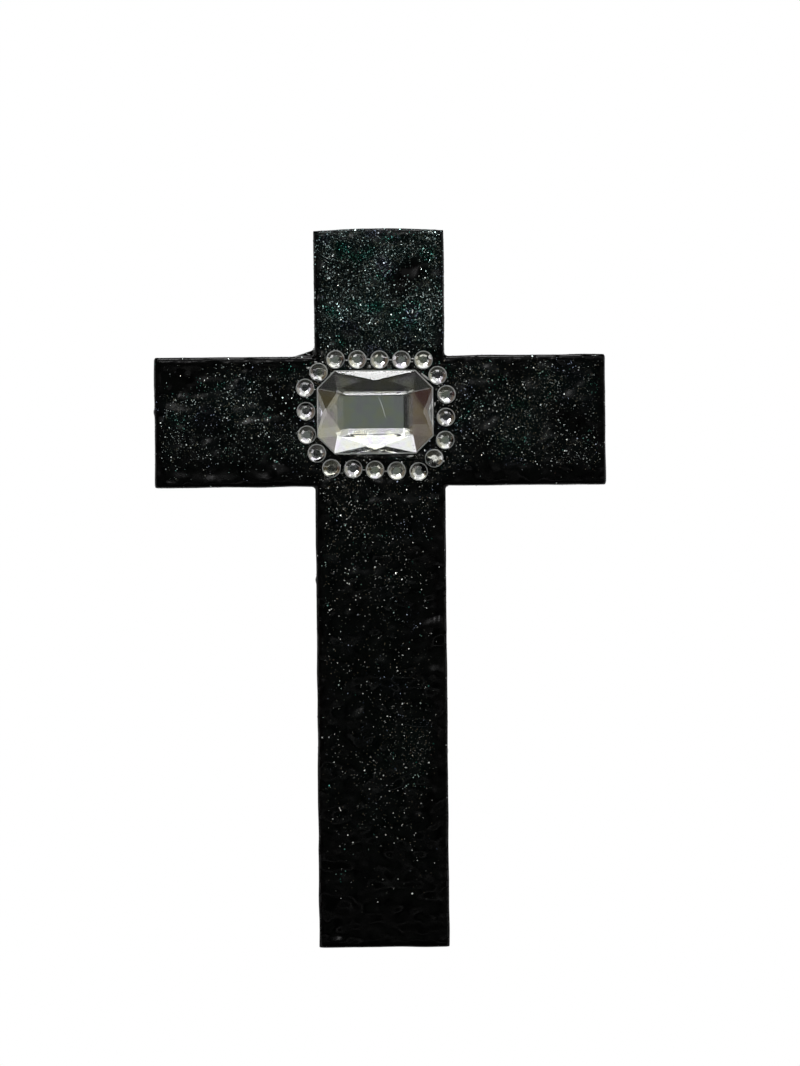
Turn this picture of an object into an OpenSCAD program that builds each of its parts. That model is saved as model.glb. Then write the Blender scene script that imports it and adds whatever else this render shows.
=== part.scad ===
// Small wall cross: a flat board under thick black gloss paint, with one large
// cut stone glued where the arms cross and a ring of little round stones.
// X runs along the arms, Z up, and the decorated face looks towards -Y.
// The origin is the mouth of the nail hole in the flat back, behind the middle of
// the crossing.

/* [Board] */
// Height from the foot to the top of the cross
cross_h = 154.5; // [120:0.5:240]
// Width across the two arms
cross_w = 97; // [75:0.5:150]
// Width of the upright and of the arms
limb_w = 28; // [22:0.5:36]
// Length of the limb above the arms
top_limb = 27.4; // [18:0.2:50]
// Thickness of the painted board
board_t = 9.5; // [7:0.5:16]

/* [Paint] */
// Radius that the thick paint gives the front edges
edge_r = 1; // [0.4:0.1:2]
// Rise of the bowed top end at its middle
top_bow = 0.5; // [0.2:0.1:3]
// Radius of the paint gathered in the inner corners
corner_fill = 0.8; // [0.3:0.1:2]
// Length along the arm of the thick run of paint in the upper left corner
run_l = 4.6; // [1:0.1:8]
// Height of that run against the upright
run_h = 1.9; // [0.5:0.1:4]

/* [Nail hole] */
// Diameter of the blind hole in the back
hole_d = 5; // [3:0.5:7]
// Depth of the hole
hole_depth = 6; // [3:0.5:6]

/* [Centre gem] */
// Width of the gem
gem_w = 25; // [16:0.5:32]
// Height of the gem on the board
gem_h = 18; // [12:0.5:24]
// How far the gem stands off the board
gem_t = 4.2; // [3.5:0.1:8]
// Leg of each corner cut
gem_cut = 3.8; // [2:0.1:5]
// Height of the upright rim around the gem
gem_rim = 1.4; // [0.6:0.1:2]
// Width and height of the flat table
table_size = [12.1, 7.1]; // [5:0.1:14]
// Width of the narrow step around the table, at its ends and along its length
step_size = [1.2, 0.55]; // [0.2:0.05:2]
// Drop of that step below the table
step_drop = 0.35; // [0.2:0.05:1]
// Where the four facets of a side meet, as a share of the way in from the rim
apex_share = 0.43; // [0.3:0.01:0.6]
// How far that meeting point is raised above the plain slope
apex_lift = 0.35; // [0.1:0.05:0.6]
// Place of the gem's middle from the middle of the crossing
gem_at = [-1, 1.9]; // [-4:0.1:4]

/* [Round stones] */
// Diameter of a round stone
stone_d = 4; // [2.5:0.1:5]
// Height of a round stone
stone_t = 1.5; // [1.2:0.1:2.5]
// Height of its upright rim
stone_rim = 0.8; // [0.3:0.05:1]
// Least gap between neighbours, as set by hand
stone_gap = 0.5; // [0.2:0.05:1.5]

/* [Stone ring] */
// Gaps from the gem to the top row, at its left and right end
top_gaps = [0.4, 0.1]; // [0:0.05:3]
// Gaps to the right row, at its upper and lower end
right_gaps = [0.85, 0.45]; // [0:0.05:3]
// Gaps to the bottom row, at its right and left end
bottom_gaps = [1.85, 0.95]; // [0:0.05:3]
// Gaps to the left row, at its lower and upper end
left_gaps = [0.25, 0.5]; // [0:0.05:3]
// Gaps from the cut corners to their stones, clockwise from the upper left
corner_gaps = [0.2, 0.5, 1.45, 0.55]; // [0:0.05:3]
// Clockwise slide of those stones along their cuts
corner_slides = [0.1, 1.55, 0.6, 0.3]; // [-2:0.05:2]

/* [Hidden] */
$fn = 64;
eps = 0.05;

top_z = limb_w / 2 + top_limb;
foot_z = top_z - cross_h;
bow_r = pow(limb_w / 2, 2) / (2 * top_bow) + top_bow / 2;

// The four corners as signs [x, z], clockwise as seen from the front, and the
// direction that each side after a corner runs in and faces.
CORNERS = [[-1, 1], [1, 1], [1, -1], [-1, -1]];
ALONG = [[1, 0], [0, -1], [-1, 0], [0, 1]];
OUTWARD = [[0, 1], [1, 0], [0, -1], [-1, 0]];

half = [gem_w / 2, gem_h / 2];
pitch = stone_d + stone_gap;
side_gaps = [top_gaps, right_gaps, bottom_gaps, left_gaps];

function next(k) = (k + 1) % 4;
function times(a, b) = [a.x * b.x, a.y * b.y];
function leg(long, side) = sqrt(max(0, long * long - side * side));

// Centre of the stone at corner k, measured from the gem's middle
function corner_stone(k) =
    let (s = CORNERS[k], out = s / norm(s), clockwise = [out.y, -out.x])
    times(s, half) - s * gem_cut / 2
        + out * (stone_d / 2 + corner_gaps[k]) + clockwise * corner_slides[k];

// Centres of side k's row, evenly spaced between two ends that each lie one
// pitch from the corner stone. The row takes as many stones as there is room for.
function row_stones(k) =
    let (
        d = ALONG[k],
        n = OUTWARD[k],
        edge = abs(n * half),
        a = corner_stone(k),
        b = corner_stone(next(k)),
        out_a = edge + side_gaps[k][0] + stone_d / 2,
        out_b = edge + side_gaps[k][1] + stone_d / 2,
        first = a * d + leg(pitch, out_a - a * n),
        last = b * d - leg(pitch, out_b - b * n),
        spaces = max(1, floor((last - first) / pitch))
    )
    [for (i = [0:spaces])
        let (t = i / spaces)
        d * (first + t * (last - first)) + n * (out_a + t * (out_b - out_a))];

STONES = [for (k = [0:3]) for (place = concat([corner_stone(k)], row_stones(k))) place + gem_at];

function stone_name(i) = str("stone_", i < 9 ? "0" : "", i + 1);

// ---- board ----

// Cut through a limb: flat at the back, rounded along both front edges
module limb_profile(width) {
    translate([-width / 2, edge_r - board_t]) square([width, board_t - edge_r]);
    translate([edge_r - width / 2, -board_t]) square([width - 2 * edge_r, board_t]);
    for (side = [-1, 1])
        translate([side * (width / 2 - edge_r), edge_r - board_t]) circle(edge_r);
}

// A limb profile of this width, drawn out along Z or along X
module along_z(width, from, to) {
    translate([0, 0, from]) linear_extrude(to - from) limb_profile(width);
}

module along_x(width, from, to) {
    rotate([0, 90, 0]) along_z(width, from, to);
}

// Large disc with the same rounded front edge, whose top gives the bowed end
module bow_disc() {
    translate([0, 0, top_z - bow_r]) rotate([90, 0, 0]) rotate_extrude($fn = 360) {
        square([bow_r, board_t - edge_r]);
        square([bow_r - edge_r, board_t]);
        translate([bow_r - edge_r, board_t - edge_r])
            intersection() {
                circle(edge_r);
                translate([-eps, -eps]) square(edge_r + 2 * eps);
            }
    }
}

module upright() {
    reach = cross_h + top_bow + edge_r;
    intersection() {
        along_z(limb_w, foot_z, top_z);
        translate([0, 0, foot_z + reach / 2]) along_x(reach, -limb_w, limb_w);
        bow_disc();
    }
}

module arms() {
    intersection() {
        along_x(limb_w, -cross_w / 2, cross_w / 2);
        along_z(cross_w, -limb_w, limb_w);
    }
}

// Paint drawn into the inner corner on side [x, z], lower than the front edges
module in_corner(side) {
    translate([side.x * limb_w / 2, 0, side.y * limb_w / 2])
        rotate([90, 0, 0]) linear_extrude(board_t - edge_r)
            scale([side.x, side.y]) children();
}

module fill_profile() {
    difference() {
        translate([-eps, -eps]) square(corner_fill + eps);
        translate([corner_fill, corner_fill]) circle(corner_fill);
    }
}

module run_profile() {
    polygon([[-eps, -eps], [run_l, -eps], [run_l, 0], [-eps, run_h]]);
}

module nail_hole() {
    translate([0, eps, 0]) rotate([90, 0, 0]) cylinder(h = hole_depth + eps, d = hole_d);
}

module cross() {
    color("#141416") difference() {
        union() {
            upright();
            arms();
            for (side = CORNERS) in_corner(side) fill_profile();
            in_corner(CORNERS[0]) run_profile();
        }
        nail_hole();
    }
}

// ---- stones ----

// Eight points around the gem at one height, clockwise from the front
function girdle(height) =
    [for (k = [0:3], j = [0:1])
        let (s = CORNERS[k], cut = (k + j) % 2 == 0 ? [0, gem_cut] : [gem_cut, 0])
        gem_point(times(s, half - cut), height)];

function ring(size, height) = [for (s = CORNERS) gem_point(times(s, size), height)];

function gem_point(place, height) =
    [gem_at.x + place.x, -board_t - height, gem_at.y + place.y];

module centre_gem() {
    shoulder = table_size / 2 + step_size;
    shoulder_t = gem_t - step_drop;
    apex_in = apex_share * (half - shoulder);
    apex_t = gem_rim + apex_share * (shoulder_t - gem_rim) + apex_lift;
    apexes = [for (n = OUTWARD) gem_point(times(n, half - apex_in), apex_t)];

    // 0 to 7 back, 8 to 15 rim, 16 to 19 apexes, 20 to 23 shoulder, 24 to 27 table
    points = concat(girdle(0), girdle(gem_rim), apexes,
                    ring(shoulder, shoulder_t), ring(table_size / 2, gem_t));
    back = [[for (i = [7:-1:0]) i]];
    rim = [for (i = [0:7]) [i, (i + 1) % 8, 8 + (i + 1) % 8, 8 + i]];
    corner_facets = [for (k = [0:3]) [8 + 2 * k, 9 + 2 * k, 20 + k]];
    side_facets = [for (k = [0:3])
        let (a = 9 + 2 * k, b = 8 + 2 * next(k), c = 20 + k, d = 20 + next(k), apex = 16 + k)
        for (facet = [[a, b, apex], [b, d, apex], [d, c, apex], [c, a, apex]]) facet];
    step = [for (k = [0:3]) [20 + k, 20 + next(k), 24 + next(k), 24 + k]];
    table = [[24, 25, 26, 27]];

    color("#d9dcd6")
        polyhedron(points, concat(back, rim, corner_facets, side_facets, step, table));
}

// A low round stone: upright rim, a narrow steep band, a gentle slope and a flat table
module round_stone(place) {
    r = stone_d / 2;
    rise = stone_t - stone_rim;
    translate([place.x, -board_t, place.y]) rotate([90, 0, 0]) rotate_extrude()
        polygon([[0, 0], [r, 0], [r, stone_rim], [0.89 * r, stone_rim + 0.3 * rise],
                 [0.4 * r, stone_t], [0, stone_t]]);
}

module stone(i) {
    color("#e4e6ea") round_stone(STONES[i]);
}

cross();
centre_gem();
for (i = [0:len(STONES) - 1])
    stone(i);
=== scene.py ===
# %% [markdown]
# # A small glitter cross
#
# The object is a flat wooden cross, about as long as a hand. Somebody brushed it with
# thick black gloss paint full of glitter, and glued one large cut stone and a ring of
# small round ones where the arms cross. The construction is already fixed, so this
# lesson only gives it its looks: the lumpy paint, the glitter, the stones and the light.

# %% Load the fixed frame
import math

import bmesh
import bpy
import numpy as np
from mathutils import Matrix, Vector, noise
from mathutils.bvhtree import BVHTree


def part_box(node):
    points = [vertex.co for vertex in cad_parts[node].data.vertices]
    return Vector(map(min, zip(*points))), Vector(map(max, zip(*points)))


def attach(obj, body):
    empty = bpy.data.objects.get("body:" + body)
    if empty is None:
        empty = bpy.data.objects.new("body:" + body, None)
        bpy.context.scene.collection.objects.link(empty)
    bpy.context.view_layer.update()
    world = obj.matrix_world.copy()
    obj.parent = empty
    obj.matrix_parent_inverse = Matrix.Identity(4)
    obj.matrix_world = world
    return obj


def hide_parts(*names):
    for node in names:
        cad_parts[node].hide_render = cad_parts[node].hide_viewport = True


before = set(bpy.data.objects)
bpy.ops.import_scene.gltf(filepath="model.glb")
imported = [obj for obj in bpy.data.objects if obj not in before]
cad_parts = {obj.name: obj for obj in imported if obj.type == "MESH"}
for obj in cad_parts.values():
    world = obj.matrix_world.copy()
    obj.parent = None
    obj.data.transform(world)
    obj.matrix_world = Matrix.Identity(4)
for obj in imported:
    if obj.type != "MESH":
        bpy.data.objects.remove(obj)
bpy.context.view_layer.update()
print("nodes in the frame:", len(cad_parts))

# %% [markdown]
# ## Sizes
#
# Every place in the scene comes from the frame. The board's box gives its ends and its
# two faces. The width of a limb isn't an end of that box, so it is read from the points
# near the foot, where only the upright is left.

# %% Measure the board
MM = 0.001

board_low, board_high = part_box("cross")
BACK, FRONT = board_high.y, board_low.y
TOP, FOOT = board_high.z, board_low.z
HALF_SPAN = board_high.x
HALF_LIMB = max(v.co.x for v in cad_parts["cross"].data.vertices if v.co.z < FOOT + 2 * MM)
MIDDLE_Y = (BACK + FRONT) / 2
print(f"board {2 * HALF_SPAN / MM:.1f} x {(TOP - FOOT) / MM:.1f} mm, limbs {2 * HALF_LIMB / MM:.1f} mm")

# %% [markdown]
# ## Small helpers
#
# An operator acts on everything that is selected, so each piece starts with nothing
# selected. In edit mode, faces and edges are picked by a test on their place or their
# direction, which is what a hand with a mouse would do. A finished piece has its place
# in its mesh and its object at the origin, like the nodes of the frame.

# %% Helpers for modelling


def deselect_all():
    """Leave edit mode and select nothing."""
    if bpy.context.object and bpy.context.object.mode != "OBJECT":
        bpy.ops.object.mode_set(mode="OBJECT")
    bpy.ops.object.select_all(action="DESELECT")


def edit():
    bpy.ops.object.mode_set(mode="EDIT")


def leave_edit():
    bpy.ops.object.mode_set(mode="OBJECT")


def select(kind, test):
    """In edit mode, select only the VERT, EDGE or FACE items that pass the test."""
    bpy.ops.mesh.select_mode(type=kind)
    bpy.ops.mesh.select_all(action="DESELECT")
    mesh = bmesh.from_edit_mesh(bpy.context.object.data)
    for item in {"VERT": mesh.verts, "EDGE": mesh.edges, "FACE": mesh.faces}[kind]:
        item.select_set(bool(test(item)))
    mesh.select_flush_mode()
    bmesh.update_edit_mesh(bpy.context.object.data)


def modify(piece, kind, **settings):
    """Add a modifier with these settings and apply it at once."""
    modifier = piece.modifiers.new(kind.title(), kind)
    for name, value in settings.items():
        setattr(modifier, name, value)
    bpy.ops.object.modifier_apply(modifier=modifier.name)


def settle(name):
    """Name the active piece, and move its place, turn and size into its mesh."""
    piece = bpy.context.object
    piece.name = piece.data.name = name
    bpy.ops.object.transform_apply(location=True, rotation=True, scale=True)
    return piece


# %% [markdown]
# ## The board
#
# The real board is sawn from one plank. It could be joined from two bars, but then the
# bars would meet in a hidden wall. Box modelling avoids that: one cube stands where the
# limbs cross, and each of its four free sides is extruded to the end of its limb.

# %% Box-model the cross
deselect_all()
bpy.ops.mesh.primitive_cube_add(
    size=1, location=(0, MIDDLE_Y, 0), scale=(2 * HALF_LIMB, BACK - FRONT, 2 * HALF_LIMB)
)
cross = settle("painted_cross")
edit()
for outward, length in (
    (Vector((1, 0, 0)), HALF_SPAN - HALF_LIMB),
    (Vector((-1, 0, 0)), HALF_SPAN - HALF_LIMB),
    (Vector((0, 0, 1)), TOP - HALF_LIMB),
    (Vector((0, 0, -1)), -FOOT - HALF_LIMB),
):
    side = outward * HALF_LIMB + Vector((0, MIDDLE_Y, 0))
    select("FACE", lambda f: (f.calc_center_median() - side).length < 0.1 * MM)
    bpy.ops.mesh.extrude_region_move(TRANSFORM_OT_translate={"value": outward * length})
leave_edit()
print("box model:", len(cross.data.polygons), "faces")

# %% [markdown]
# ## Rounded front edges
#
# Thick paint pulls back from a sharp edge and leaves it round. Only the edges around
# the front face are rounded: an edge belongs to them if one of its faces is the front
# and the other one is a side.

# %% Round the front edges
EDGE_ROUND = 0.5 * MM


def is_front_edge(edge):
    facing = [face.normal.y for face in edge.link_faces]
    return min(facing) < -0.9 and max(facing) > -0.1


edit()
select("EDGE", is_front_edge)
bpy.ops.mesh.bevel(offset=EDGE_ROUND, segments=3, affect="EDGES")
leave_edit()
print("after rounding:", len(cross.data.polygons), "faces")

# %% [markdown]
# ## Runs and pimples of paint
#
# Paint gathered in the inner corner at the upper left and dried as a sloping run, and
# it left a few pimples on the sides. Each is a small shape pushed into the board. They
# need no neat joint here, because the next step melts everything into one skin.

# %% Add the run and the pimples
RUN_LONG, RUN_HIGH = 4.6 * MM, 1.9 * MM
RUN_SET_BACK = 1.5 * MM
SUNK = 1 * MM
PIMPLES = (
    (Vector((0.25 * MM - HALF_SPAN, FRONT + 1.4 * MM, 2.3 * MM)), 0.65 * MM),
    (Vector((0.2 * MM - HALF_LIMB, FRONT + 1.2 * MM, -34 * MM)), 0.6 * MM),
    (Vector((HALF_LIMB - 0.3 * MM, FRONT + 2 * MM, -71 * MM)), 0.6 * MM),
)

deselect_all()
corner = Vector((-HALF_LIMB, 0, HALF_LIMB))
run_low = corner + Vector((-RUN_LONG, FRONT + RUN_SET_BACK, -SUNK))
run_high = corner + Vector((SUNK, BACK - 0.5 * MM, RUN_HIGH))
bpy.ops.mesh.primitive_cube_add(size=1, location=(run_low + run_high) / 2, scale=run_high - run_low)
run = settle("paint_run")
edit()
select("VERT", lambda v: v.co.x < run_low.x + 0.1 * MM and v.co.z > HALF_LIMB)
bpy.ops.transform.translate(value=(0, 0, -RUN_HIGH))
leave_edit()

extras = [run]
for place, radius in PIMPLES:
    deselect_all()
    bpy.ops.mesh.primitive_ico_sphere_add(subdivisions=3, radius=radius, location=place)
    extras.append(settle("pimple"))

deselect_all()
for piece in [*extras, cross]:
    piece.select_set(True)
bpy.context.view_layer.objects.active = cross
bpy.ops.object.join()
print("pieces of paint added:", len(extras))

# %% [markdown]
# ## One even skin
#
# The lumps of the paint need an even net of points to live on. A voxel remesh lays one
# over the whole shape in squares of just under half a millimetre, and melts the run and
# the pimples into the board. A light smoothing then takes the steps out of its slopes.

# %% Remesh and smooth
SKIN = 0.45 * MM

modify(cross, "REMESH", mode="VOXEL", voxel_size=SKIN)
modify(cross, "SMOOTH", factor=0.5, iterations=2)
print("skin:", len(cross.data.polygons), "faces")

# %% [markdown]
# ## Where paint and glitter lie
#
# Several later steps ask the same question: how far inside the outline is this point?
# For a cross the answer is the better of two simple ones, as part of the upright or as
# part of the arms. Noise with a chosen size of lump gives everything made by hand. All
# points of a mesh are read and worked out at once, as rows of x, y, z.

# %% Fields over the front face


def points_and_normals(mesh):
    """The points of a mesh and their normals, each as rows of x, y, z."""
    found = []
    for kind in ("co", "normal"):
        values = np.empty(3 * len(mesh.vertices))
        mesh.vertices.foreach_get(kind, values)
        found.append(values.reshape(-1, 3))
    return found


def inside(x, z):
    """How far each point lies inside the outline of the front, negative outside it."""
    upright = np.minimum.reduce([HALF_LIMB - abs(x), TOP - z, z - FOOT])
    arms = np.minimum(HALF_LIMB - abs(z), HALF_SPAN - abs(x))
    return np.maximum(upright, arms)


def lumps(points, size, seed):
    """Smooth noise from about -1 to 1 at each point, with lumps of that size along x, y, z."""
    scaled = np.asarray(points) / np.asarray(size) + 31.7 * seed
    return 1.6 * np.array([noise.noise(Vector(p)) for p in scaled])


def ramp(value, start, end):
    """From 0 at start to 1 at end, turning smoothly."""
    t = np.clip((value - start) / (end - start), 0, 1)
    return t * t * (3 - 2 * t)


# %% [markdown]
# ## Lumpy paint
#
# The brush left long shallow strokes, along the arms and down the upright, over softer
# lumps, and a bead of paint dried just inside the edges. The strokes are fainter on the
# arms, and the bead is thin along their lower edge. All of it is one height for each
# point, moved along the point's own normal. The back stays flat, because it lies
# against the wall, and the paint is pressed flat under every stone.

# %% Sculpt the paint
SOFT_LUMP, SOFT_HIGH = 6.5 * MM, 0.16 * MM
SMALL_LUMP, SMALL_HIGH = 2.2 * MM, 0.07 * MM
STROKE_LONG, STROKE_WIDE, STROKE_HIGH = 9 * MM, 1.3 * MM, 0.04 * MM
FAINT_ON_ARM, THIN_BEAD_BELOW = 0.45, 0.25
BEAD_IN, BEAD_WIDE, BEAD_HIGH = 1.5 * MM, 0.7 * MM, 0.08 * MM
SIDE_HIGH = 0.1 * MM
TOP_BOW = 0.5 * MM
RIM_LUMP, RIM_HIGH = 1.3 * MM, 0.07 * MM
PRESSED = -0.05 * MM

stone_names = sorted(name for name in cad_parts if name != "cross")
footprints = [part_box(name) for name in stone_names]

points, normals = points_and_normals(cross.data)
x, y, z = points.T

on_arm = ramp(abs(x), HALF_LIMB, HALF_LIMB + 2 * MM)
along_arm = lumps(points, (STROKE_LONG, STROKE_LONG, STROKE_WIDE), 1)
down_upright = lumps(points, (STROKE_WIDE, STROKE_LONG, STROKE_LONG), 2)
strokes = FAINT_ON_ARM * on_arm * along_arm + (1 - on_arm) * down_upright
bead = np.exp(-(((inside(x, z) - BEAD_IN) / BEAD_WIDE) ** 2))
bead *= np.clip(0.6 + lumps(points, 5 * MM, 3), 0, 1.4)
bead *= 1 - (1 - THIN_BEAD_BELOW) * on_arm * ramp(-z, 0, 5 * MM)
height = (
    SOFT_HIGH * lumps(points, SOFT_LUMP, 4)
    + SMALL_HIGH * lumps(points, SMALL_LUMP, 5)
    + STROKE_HIGH * strokes
    + BEAD_HIGH * bead
    + RIM_HIGH * lumps(points, RIM_LUMP, 10) * np.exp(-((inside(x, z) / MM) ** 2))
)
under_stone = np.zeros(len(points))
for low, high in footprints:
    middle, half = (low + high) / 2, (high - low) / 2
    outside = np.maximum(abs(x - middle.x) - half.x, abs(z - middle.z) - half.z)
    under_stone = np.maximum(under_stone, 1 - ramp(outside, 0, 0.6 * MM))
height = height * (1 - under_stone) + np.minimum(height, PRESSED) * under_stone

facing_front = np.clip(-normals[:, 1], 0, 1)
facing_side = 1 - abs(normals[:, 1])
off_the_wall = ramp(BACK - y, 0.3 * MM, 2 * MM)
rise = facing_front * height + facing_side * SIDE_HIGH * lumps(points, 7 * MM, 6)
points += normals * (rise * off_the_wall)[:, None]
points[:, 2] -= TOP_BOW * (x / HALF_LIMB) ** 2 * ramp(z, TOP - 5 * MM, TOP)

cross.data.vertices.foreach_set("co", points.ravel())
cross.data.update()
print(f"paint from {1000 * height.min():.2f} to {1000 * height.max():.2f} mm high")

# %% [markdown]
# ## The nail hole
#
# The cross hangs on a nail, in a blind hole drilled in the back. A drilled hole has a
# crisp rim, so it is cut last, after the skin is finished: a cylinder is taken out of
# the board by a Boolean modifier and then thrown away.

# %% Drill the nail hole
HOLE_RADIUS, HOLE_DEPTH = 2.5 * MM, 6 * MM

deselect_all()
bpy.ops.mesh.primitive_cylinder_add(
    vertices=48,
    radius=HOLE_RADIUS,
    depth=2 * HOLE_DEPTH,
    location=(0, BACK, 0),
    rotation=(math.pi / 2, 0, 0),
)
drill = settle("drill")
deselect_all()
bpy.context.view_layer.objects.active = cross
cross.select_set(True)
modify(cross, "BOOLEAN", object=drill, operation="DIFFERENCE", solver="EXACT")
bpy.data.objects.remove(drill)
bpy.ops.object.shade_smooth_by_angle(angle=math.radians(50))
print("with its hole:", len(cross.data.polygons), "faces")

# %% [markdown]
# ## How thickly the glitter lies
#
# The glitter is thick on the top limb, fair on the arms, thin down the upright, with one
# late patch low on the right, and missing at the foot, so the front gets darker towards
# the bottom. It gets sparse towards the edges, most of all along the arms and in the upper
# corner of the left one. One field holds all of that, and both kinds of glitter below read it.

# %% The glitter field
# Glitter up the upright from the foot: less of it makes the front darker towards the bottom.
UP_THE_UPRIGHT = (
    (-107, 0.0), (-97, 0.03), (-86, 0.06), (-75, 0.1), (-64, 0.1), (-52, 0.08),
    (-40, 0.1), (-27, 0.17), (-15, 0.24), (-6, 0.42), (16, 0.7), (24, 0.92), (41, 0.99),
)
ARMS = 0.43
MOST = 1.8
FULL_LEFT, FULL_RIGHT = 9 * MM, 6 * MM
LOST_LOW, LOST_AT_END, LOST_IN_CORNER, LOST_IN_STRIP = 0.9, 0.5, 0.85, 0.85
LOST_HIGH_LEFT, LOST_HIGH_RIGHT = 0.65, 0.1
PATCH, PATCH_SIZE, PATCH_MORE = Vector((6.5, 0, -70)) * MM, 7 * MM, 0.2
BARE_EDGE, FULL_AT, NEARER_ON_TOP = 0.3 * MM, 2.6 * MM, 0.7 * MM
CLUMP, EVEN, UNEVEN = 7 * MM, 0.78, 0.75


def amount_on_arms(x, z):
    """The glitter on the arms: less along both long edges, at the ends and in one corner."""
    full_from = np.where(x > 0, FULL_RIGHT, FULL_LEFT)
    low_on_arm = 1 - ramp(z, -HALF_LIMB + 2.5 * MM, -HALF_LIMB + full_from)
    high_on_arm = ramp(z, HALF_LIMB - 4.5 * MM, HALF_LIMB - 2 * MM)
    lost_high = np.where(x > 0, LOST_HIGH_RIGHT, LOST_HIGH_LEFT)
    bare_corner = ramp(-x, HALF_SPAN - 12 * MM, HALF_SPAN - 8 * MM) * ramp(z, 5 * MM, 8 * MM)
    arm_end = ramp(abs(x), HALF_SPAN - 5 * MM, HALF_SPAN)
    arms = ARMS * (1 - LOST_LOW * low_on_arm) * (1 - LOST_AT_END * arm_end)
    return arms * ((1 - lost_high * high_on_arm) * (1 - LOST_IN_CORNER * bare_corner))


def amount_on_upright(z):
    """The glitter down the upright, read from the list of heights."""
    heights, amounts = np.array(UP_THE_UPRIGHT).T
    return np.interp(z, heights * MM, amounts)


def glitter_amount(x, z, points):
    """How much glitter lies at each point of the front, from 0 for none up to MOST."""
    on_arm = ramp(abs(x), HALF_LIMB - 3 * MM, HALF_LIMB + 3 * MM)
    amount = on_arm * amount_on_arms(x, z) + (1 - on_arm) * amount_on_upright(z)
    from_patch = np.hypot(x - PATCH.x, z - PATCH.z) / PATCH_SIZE
    amount += PATCH_MORE * np.exp(-(from_patch**2))
    bare_strip = ramp(x, HALF_LIMB - 5 * MM, HALF_LIMB - 2.5 * MM) * ramp(-z, 16 * MM, 20 * MM)
    amount *= 1 - LOST_IN_STRIP * bare_strip
    top_limb = ramp(z, HALF_LIMB, HALF_LIMB + 4 * MM)
    from_edge = (1 - top_limb) * inside(x, z) + top_limb * (HALF_LIMB + NEARER_ON_TOP - abs(x))
    amount *= ramp(from_edge, BARE_EDGE, FULL_AT)
    return np.clip(amount * (EVEN + UNEVEN * lumps(points, CLUMP, 7)), 0, MOST)


# %% [markdown]
# ## The colours of the glitter
#
# Most of the glitter is silver on the shaft, and a pale sea green on the arms and even
# more on the top limb. In patches a few millimetres wide it turns teal, and here and
# there violet, as mixed glitter does. The colours are fields too, so that the fine dust
# in the paint and the larger flakes change colour at the same places.

# %% The colour field
SILVER, SEA_GREEN = np.array((0.9, 0.93, 0.895)), np.array((0.67, 0.93, 0.91))
TEAL, VIOLET = np.array((0.16, 0.72, 0.6)), np.array((0.5, 0.6, 0.85))
GREENER_TOP, GREENER_LEFT, GREENER_RIGHT = 1.0, 0.5, 0.28
TEAL_PATCH, VIOLET_PATCH = 4 * MM, 5 * MM
TEAL_ON_SHAFT = 0.4


def patches(points):
    """How teal and how violet the glitter is at each point, each from 0 to 1."""
    z = np.asarray(points)[:, 2]
    teal = ramp(lumps(points, TEAL_PATCH, 8), 0.25, 0.7)
    teal *= TEAL_ON_SHAFT + (1 - TEAL_ON_SHAFT) * ramp(z, -HALF_LIMB, HALF_LIMB)
    violet = ramp(lumps(points, VIOLET_PATCH, 9), 0.3, 0.75)
    return teal, violet


def pale_tint(points):
    """The colour of the plain flakes: silver on the shaft, greener on the arms and on top."""
    x, _, z = np.asarray(points).T
    greener = GREENER_TOP * ramp(z, HALF_LIMB - 2 * MM, HALF_LIMB + 4 * MM)
    greener += GREENER_LEFT * ramp(-x, HALF_LIMB, HALF_LIMB + 6 * MM)
    greener += GREENER_RIGHT * ramp(x, HALF_LIMB, HALF_LIMB + 6 * MM)
    return SILVER + greener[:, None] * (SEA_GREEN - SILVER)


# %% [markdown]
# ## Paint
#
# Black gloss paint is nearly no colour at all: what shows is its mirror-like skin. The
# finest glitter, too small to see flake by flake, is part of the same material. A cell
# pattern gives each speck its own random number, which decides whether it is metal,
# how bright it is and which way it leans. How many specks are metal comes from the
# glitter field, stored on the board's points.

# %% Helpers for materials


def new_material(name, **values):
    """A material with one Principled shader, its plain values set on its own sockets."""
    material = bpy.data.materials.new(name)
    material.use_nodes = True
    shader = material.node_tree.nodes["Principled BSDF"]
    for socket, value in values.items():
        shader.inputs[socket.replace("_", " ")].default_value = value
    return material, shader


def add_node(material, kind, operation=None, **inputs):
    """A node whose inputs are set, or linked where the value is another node's output."""
    node = material.node_tree.nodes.new(kind)
    if operation:
        node.operation = operation
    for name, value in inputs.items():
        socket = node.inputs[int(name[1:]) if name[1:].isdigit() else name]
        if isinstance(value, bpy.types.NodeSocket):
            material.node_tree.links.new(value, socket)
        else:
            socket.default_value = value
    return node


def link(material, output, target):
    material.node_tree.links.new(output, target)


def read_stored(material, name):
    """A node that reads what the mesh has stored at its points under this name."""
    node = add_node(material, "ShaderNodeAttribute")
    node.attribute_name = name
    return node


def add_mix(material, kind, factor, first, second):
    """A node that turns from the first VECTOR or RGBA to the second with the factor."""
    mix = add_node(material, "ShaderNodeMix")
    mix.data_type = kind
    at = {"VECTOR": 4, "RGBA": 6}[kind]
    for number, value in ((0, factor), (at, first), (at + 1, second)):
        if isinstance(value, bpy.types.NodeSocket):
            link(material, value, mix.inputs[number])
        else:
            mix.inputs[number].default_value = value
    return mix


# %% The skin of the paint
PEEL, PEEL_DEEP = 0.9 * MM, 0.012 * MM
SMEAR, SMOOTHEST, ROUGHEST = 2.5 * MM, 0.06, 0.26

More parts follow.
